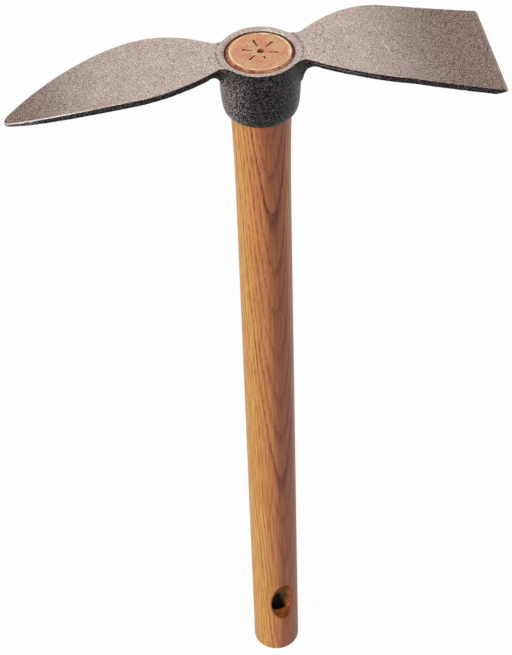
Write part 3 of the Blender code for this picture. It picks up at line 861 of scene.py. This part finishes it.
heart_side = add_node(
    tree, "ShaderNodeMath", {0: spot["Y"], 1: HEART_FORWARD, 2: heart_x},
    operation="MULTIPLY_ADD").outputs[0]
warm = add_node(
    tree, "ShaderNodeMapRange", {"Value": heart_side, "From Min": 2 * MM, "From Max": 13 * MM},
    interpolation_type="SMOOTHSTEP").outputs["Result"]
heart = add_node(
    tree, "ShaderNodeMapRange", {"Value": heart_side, "From Min": 11.5 * MM, "From Max": 13.7 * MM},
    interpolation_type="SMOOTHSTEP").outputs["Result"]
year_strength = add_node(
    tree, "ShaderNodeMix", {0: warm, 2: year_strength, 3: strong_year}).outputs[0]

# Each year starts with dark early wood and its rows of pores, and fades into pale late wood.
rising = add_node(
    tree, "ShaderNodeMapRange", {"Value": ring, "From Max": 0.10},
    interpolation_type="SMOOTHSTEP").outputs["Result"]
falling = add_node(
    tree, "ShaderNodeMapRange",
    {"Value": ring, "From Min": 0.12, "From Max": 0.75, "To Min": 1.0, "To Max": 0.0},
    interpolation_type="SMOOTHSTEP").outputs["Result"]
early_wood = add_node(tree, "ShaderNodeMath", {0: rising, 1: falling}, operation="MULTIPLY").outputs[0]
pore_place = add_node(
    tree, "ShaderNodeVectorMath",
    {0: place["Object"], 1: (1 / PORE_WIDTH, 1 / PORE_WIDTH, 1 / PORE_LENGTH)},
    operation="MULTIPLY").outputs[0]
pore_noise = add_node(
    tree, "ShaderNodeTexNoise", {"Vector": pore_place, "Scale": 1.0, "Detail": 1.0}).outputs["Fac"]
pore = add_node(
    tree, "ShaderNodeMapRange",
    {"Value": pore_noise, "From Min": 0.46, "From Max": 0.53}).outputs["Result"]
pore_row = add_node(
    tree, "ShaderNodeMapRange",
    {"Value": ring, "From Min": 0.15, "From Max": 0.50, "To Min": 1.0, "To Max": 0.0},
    interpolation_type="SMOOTHSTEP").outputs["Result"]
pore_row = add_node(tree, "ShaderNodeMath", {0: rising, 1: pore_row}, operation="MULTIPLY").outputs[0]
early_pore = add_node(tree, "ShaderNodeMath", {0: pore, 1: pore_row}, operation="MULTIPLY").outputs[0]
pore_strength = add_node(
    tree, "ShaderNodeMapRange", {"Value": year_strength, "To Min": 0.35}).outputs["Result"]
early_pore = add_node(
    tree, "ShaderNodeMath", {0: early_pore, 1: pore_strength}, operation="MULTIPLY").outputs[0]
fibre_place = add_node(
    tree, "ShaderNodeVectorMath",
    {0: place["Object"], 1: (1 / FIBRE_WIDTH, 1 / FIBRE_WIDTH, 1 / FIBRE_LENGTH)},
    operation="MULTIPLY").outputs[0]
fibre = add_node(
    tree, "ShaderNodeTexNoise", {"Vector": fibre_place, "Scale": 1.0, "Detail": 3.0}).outputs["Fac"]
fibre = add_node(
    tree, "ShaderNodeMapRange", {"Value": fibre, "From Min": 0.32, "From Max": 0.62}).outputs["Result"]
wood_tones = []
for sapwood, red_wood, heartwood in (
        ("#D29B4D", "#C37D4B", "#9E5B3B"), ("#AE7433", "#96502B", "#743A24")):
    tone = add_node(
        tree, "ShaderNodeMix",
        {0: warm, 6: linear(sapwood), 7: linear(red_wood)}, data_type="RGBA").outputs[2]
    tone = add_node(
        tree, "ShaderNodeMix", {0: heart, 6: tone, 7: linear(heartwood)}, data_type="RGBA").outputs[2]
    wood_tones.append(tone)
late, early = wood_tones
ring_share = add_node(
    tree, "ShaderNodeMath", {0: early_wood, 1: year_strength}, operation="MULTIPLY").outputs[0]
ring_share = add_node(tree, "ShaderNodeMath", {0: ring_share, 1: 0.55}, operation="MULTIPLY").outputs[0]
wood = add_node(
    tree, "ShaderNodeMix", {0: ring_share, 6: late, 7: early}, data_type="RGBA").outputs[2]
fibre_tint = add_node(
    tree, "ShaderNodeMix",
    {0: fibre, 6: linear("#DAC6B4"), 7: linear("#FFFFFF")}, data_type="RGBA").outputs[2]
wood = add_node(
    tree, "ShaderNodeMix",
    {0: 1.0, 6: wood, 7: fibre_tint}, data_type="RGBA", blend_type="MULTIPLY").outputs[2]

# Hands have worn the lower grip a little paler and filled its pores.
butt_light = add_node(
    tree, "ShaderNodeMapRange",
    {"Value": spot["Z"], "From Min": 150 * MM, "From Max": 20 * MM, "To Min": 0.91}).outputs["Result"]
wood = add_node(
    tree, "ShaderNodeVectorMath", {0: wood, "Scale": butt_light}, operation="SCALE").outputs[0]
pore_depth = add_node(
    tree, "ShaderNodeMapRange",
    {"Value": spot["Z"], "From Min": 150 * MM, "From Max": 270 * MM,
     "To Min": 0.55, "To Max": 0.95}).outputs["Result"]
pore_share = add_node(
    tree, "ShaderNodeMath", {0: early_pore, 1: pore_depth}, operation="MULTIPLY").outputs[0]
wood = add_node(
    tree, "ShaderNodeMix", {0: pore_share, 6: wood, 7: linear("#4C2110")}, data_type="RGBA").outputs[2]

# A thin dark line is painted on the wood just under the collar's edge: painted contact shade.
shade_under_collar = add_node(
    tree, "ShaderNodeMapRange",
    {"Value": spot["Z"], "From Min": COLLAR_BOTTOM - 1.5 * MM, "From Max": COLLAR_BOTTOM - 0.4 * MM,
     "To Max": 0.75}).outputs["Result"]
wood = add_node(
    tree, "ShaderNodeMix", {0: shade_under_collar, 6: wood, 7: linear("#4A2414")}, data_type="RGBA").outputs[2]

# The drilled hole is darker: brown in the countersinks and nearly black deep in the bore, partly oil
# drunk by the end grain and partly painted shade.
countersink_oil_and_shade = add_node(tree, "ShaderNodeAttribute", attribute_name="countersunk").outputs["Fac"]
bore_oil_and_shade = add_node(tree, "ShaderNodeAttribute", attribute_name="bore_oil_and_shade").outputs["Fac"]
soaked_and_shaded = add_node(
    tree, "ShaderNodeMix",
    {0: 1.0, 6: wood, 7: linear("#B0A078")}, data_type="RGBA", blend_type="MULTIPLY").outputs[2]
wood = add_node(
    tree, "ShaderNodeMix", {0: countersink_oil_and_shade, 6: wood, 7: soaked_and_shaded}, data_type="RGBA").outputs[2]
wood = add_node(
    tree, "ShaderNodeMix", {0: bore_oil_and_shade, 6: wood, 7: linear("#140402")}, data_type="RGBA").outputs[2]

# End grain in the eye: peach, with a cream border painted as the highlight along the end's edge, a
# browner chamfer and dark marks.
from_axis = add_node(
    tree, "ShaderNodeVectorMath",
    {0: place["Object"], 1: (1.0, 1.0, 0.0)}, operation="MULTIPLY").outputs[0]
off_axis = add_node(tree, "ShaderNodeVectorMath", {0: from_axis}, operation="LENGTH").outputs["Value"]
at_top = add_node(
    tree, "ShaderNodeMapRange",
    {"Value": spot["Z"], "From Min": HANDLE_LENGTH - 3 * MM,
     "From Max": HANDLE_LENGTH - 2 * MM}).outputs["Result"]
soft_noise = add_node(
    tree, "ShaderNodeTexNoise",
    {"Vector": place["Object"], "Scale": 1 / END_PATCH, "Detail": 2.0}).outputs["Fac"]
off_middle = add_node(
    tree, "ShaderNodeVectorMath", {0: from_axis, 1: (*FLAT_END_MIDDLE, 0)},
    operation="DISTANCE").outputs["Value"]
outward = add_node(
    tree, "ShaderNodeMath", {0: soft_noise, 1: -5 * MM, 2: off_middle},
    operation="MULTIPLY_ADD").outputs[0]
# Painted highlight: a cream border along the outer edge of the end's flat.
cream_border_highlight = add_node(
    tree, "ShaderNodeMapRange", {"Value": outward, "From Min": 11.4 * MM, "From Max": 13.3 * MM},
    interpolation_type="SMOOTHSTEP").outputs["Result"]
facing = add_node(tree, "ShaderNodeNewGeometry").outputs["True Normal"]
upward = add_node(tree, "ShaderNodeSeparateXYZ", {0: facing}).outputs["Z"]
on_chamfer = add_node(
    tree, "ShaderNodeMapRange", {"Value": upward, "From Min": 0.97, "From Max": 0.93}).outputs["Result"]
in_mark = add_node(
    tree, "ShaderNodeMapRange",
    {"Value": spot["Z"], "From Min": HANDLE_LENGTH - 0.01 * MM,
     "From Max": HANDLE_LENGTH - 0.08 * MM}).outputs["Result"]
inside_border = add_node(
    tree, "ShaderNodeMath", {0: off_axis, 1: 12 * MM}, operation="LESS_THAN").outputs[0]
golden = add_node(
    tree, "ShaderNodeMapRange",
    {"Value": soft_noise, "From Min": 0.36, "From Max": 0.62}).outputs["Result"]
peach = add_node(
    tree, "ShaderNodeMix",
    {0: golden, 6: linear("#F49B80"), 7: linear("#F7CB93")}, data_type="RGBA").outputs[2]
mottle = add_node(
    tree, "ShaderNodeTexNoise",
    {"Vector": place["Object"], "Scale": 1 / END_MOTTLE, "Detail": 2.0}).outputs["Fac"]
mottle = add_node(
    tree, "ShaderNodeMapRange", {"Value": mottle, "From Min": 0.34, "From Max": 0.54}).outputs["Result"]
peach = add_node(
    tree, "ShaderNodeMix", {0: mottle, 6: linear("#D6946E"), 7: peach}, data_type="RGBA").outputs[2]
peach = add_node(
    tree, "ShaderNodeMix",
    {0: 1.0, 6: peach, 7: fibre_tint}, data_type="RGBA", blend_type="MULTIPLY").outputs[2]
end_grain = add_node(
    tree, "ShaderNodeMix", {0: cream_border_highlight, 6: peach, 7: linear("#FFE4B6")}, data_type="RGBA").outputs[2]
chamfer = add_node(
    tree, "ShaderNodeMix",
    {0: golden, 6: linear("#96523A"), 7: linear("#DC9A74")}, data_type="RGBA").outputs[2]
end_grain = add_node(
    tree, "ShaderNodeMix", {0: on_chamfer, 6: end_grain, 7: chamfer}, data_type="RGBA").outputs[2]
in_mark = add_node(
    tree, "ShaderNodeMath", {0: in_mark, 1: inside_border}, operation="MULTIPLY").outputs[0]
end_grain = add_node(
    tree, "ShaderNodeMix", {0: in_mark, 6: end_grain, 7: linear("#783A20")}, data_type="RGBA").outputs[2]
wood = add_node(
    tree, "ShaderNodeMix", {0: at_top, 6: wood, 7: end_grain}, data_type="RGBA").outputs[2]

# Oil leaves the late wood glossier than the open early wood, and the soaked hole dull.
gloss = add_node(
    tree, "ShaderNodeMapRange", {"Value": early_wood, "To Min": 0.42, "To Max": 0.52}).outputs["Result"]
relief = add_node(
    tree, "ShaderNodeBump",
    {"Height": early_pore, "Strength": 0.4, "Distance": 0.12 * MM}, invert=True).outputs["Normal"]
shine = add_node(
    tree, "ShaderNodeMapRange", {"Value": countersink_oil_and_shade, "To Min": 0.35, "To Max": 0.05}).outputs["Result"]
shader = add_node(
    tree, "ShaderNodeBsdfPrincipled",
    {"Base Color": wood, "Roughness": gloss, "IOR": 1.45, "Specular IOR Level": shine, "Normal": relief})
tree.links.new(shader.outputs[0], output.inputs[0])
handle_mesh.materials.clear()
handle_mesh.materials.append(oiled_ash)

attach(ash_handle, "root")
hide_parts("ash_handle")

# Studio
# A plain pale floor that runs out to the horizon, and an even sky, both white to the camera. One strong
# softbox stands before the tool on the left, and two weak ones on its right and behind it.
FLOOR_SIZE = 12.0
FLOOR_LEVEL = -0.1 * MM
FLOOR_WHITE = 0.96
SKY_LIGHT = 0.336

floor_mesh = bpy.data.meshes.new("floor")
half_floor = FLOOR_SIZE / 2
floor_mesh.from_pydata(
    [(x * half_floor, y * half_floor, FLOOR_LEVEL) for x, y in ((-1, -1), (1, -1), (1, 1), (-1, 1))],
    [], [(0, 1, 2, 3)])
floor = add_object("floor", floor_mesh)


def looked_at(tree):
    """1 for a ray from the camera, or one that a gloss or glass sends on; 0 for what lights the tool."""
    rays = add_node(tree, "ShaderNodeLightPath").outputs
    seen = add_node(
        tree, "ShaderNodeMath",
        {0: rays["Is Camera Ray"], 1: rays["Is Glossy Ray"]}, operation="MAXIMUM").outputs[0]
    return add_node(
        tree, "ShaderNodeMath", {0: seen, 1: rays["Is Transmission Ray"]}, operation="MAXIMUM").outputs[0]


# Pale matt paper: a plain diffuse sheet, lifted almost to white where it is looked at, so that it still
# keeps the tool's shadow.
paper, tree, output = new_material("pale_paper")
lift = add_node(
    tree, "ShaderNodeMath", {0: looked_at(tree), 1: FLOOR_WHITE}, operation="MULTIPLY").outputs[0]
matt = add_node(tree, "ShaderNodeBsdfDiffuse", {"Color": linear("#F2F2F2")}).outputs[0]
white = add_node(tree, "ShaderNodeEmission", {"Strength": 1.0}).outputs[0]
sheet = add_node(tree, "ShaderNodeMixShader", {0: lift, 1: matt, 2: white}).outputs[0]
tree.links.new(sheet, output.inputs[0])
floor_mesh.materials.append(paper)

world = bpy.data.worlds.new("even_sky")
bpy.context.scene.world = world
world.use_nodes = True
tree = world.node_tree
tree.nodes.clear()
even, white = [
    add_node(tree, "ShaderNodeBackground", {"Color": linear("#FFFFFF"), "Strength": strength}).outputs[0]
    for strength in (SKY_LIGHT, 1.0)]
sky = add_node(tree, "ShaderNodeMixShader", {0: looked_at(tree), 1: even, 2: white}).outputs[0]
add_node(tree, "ShaderNodeOutputWorld", {"Surface": sky})

# Each softbox by its direction and distance from the lit point, in degrees and metres, its width and
# height, and its power in watts.
LIT_POINT = Vector((0, 0, 280 * MM))
for lamp_name, azimuth, elevation, distance, width, height, power in (
        ("left_softbox", -144, 28, 1.4, 0.6, 1.0, 17.0),
        ("right_softbox", -15, 20, 1.6, 0.5, 1.0, 5.0),
        ("back_softbox", 81, 40, 1.8, 1.0, 0.9, 3.8)):
    lamp = bpy.data.lights.new(lamp_name, "AREA")
    lamp.shape = "RECTANGLE"
    lamp.size = width
    lamp.size_y = height
    lamp.energy = power
    lamp_object = add_object(lamp_name, lamp)
    way = Euler((0, -math.radians(elevation), math.radians(azimuth))).to_matrix() @ Vector((1, 0, 0))
    lamp_object.location = LIT_POINT + distance * way
    lamp_object.rotation_euler = way.to_track_quat("Z", "Y").to_euler()

# The camera stands in front, a little to the left and well above the head, and looks down at the tool.
CAMERA_PLACE = (-152.70144 * MM, -964.11895 * MM, 1190.12291 * MM)
CAMERA_TURN = (0.8103, 0.0246, -0.1740)
CAMERA_LENS = 135.37

camera_data = bpy.data.cameras.new("camera")
camera_data.sensor_width = 36
camera_data.lens = CAMERA_LENS
camera_data.clip_end = 50
camera = add_object("camera", camera_data)
camera.location = CAMERA_PLACE
camera.rotation_euler = CAMERA_TURN
bpy.context.scene.camera = camera
bpy.context.scene.view_settings.view_transform = "Standard"
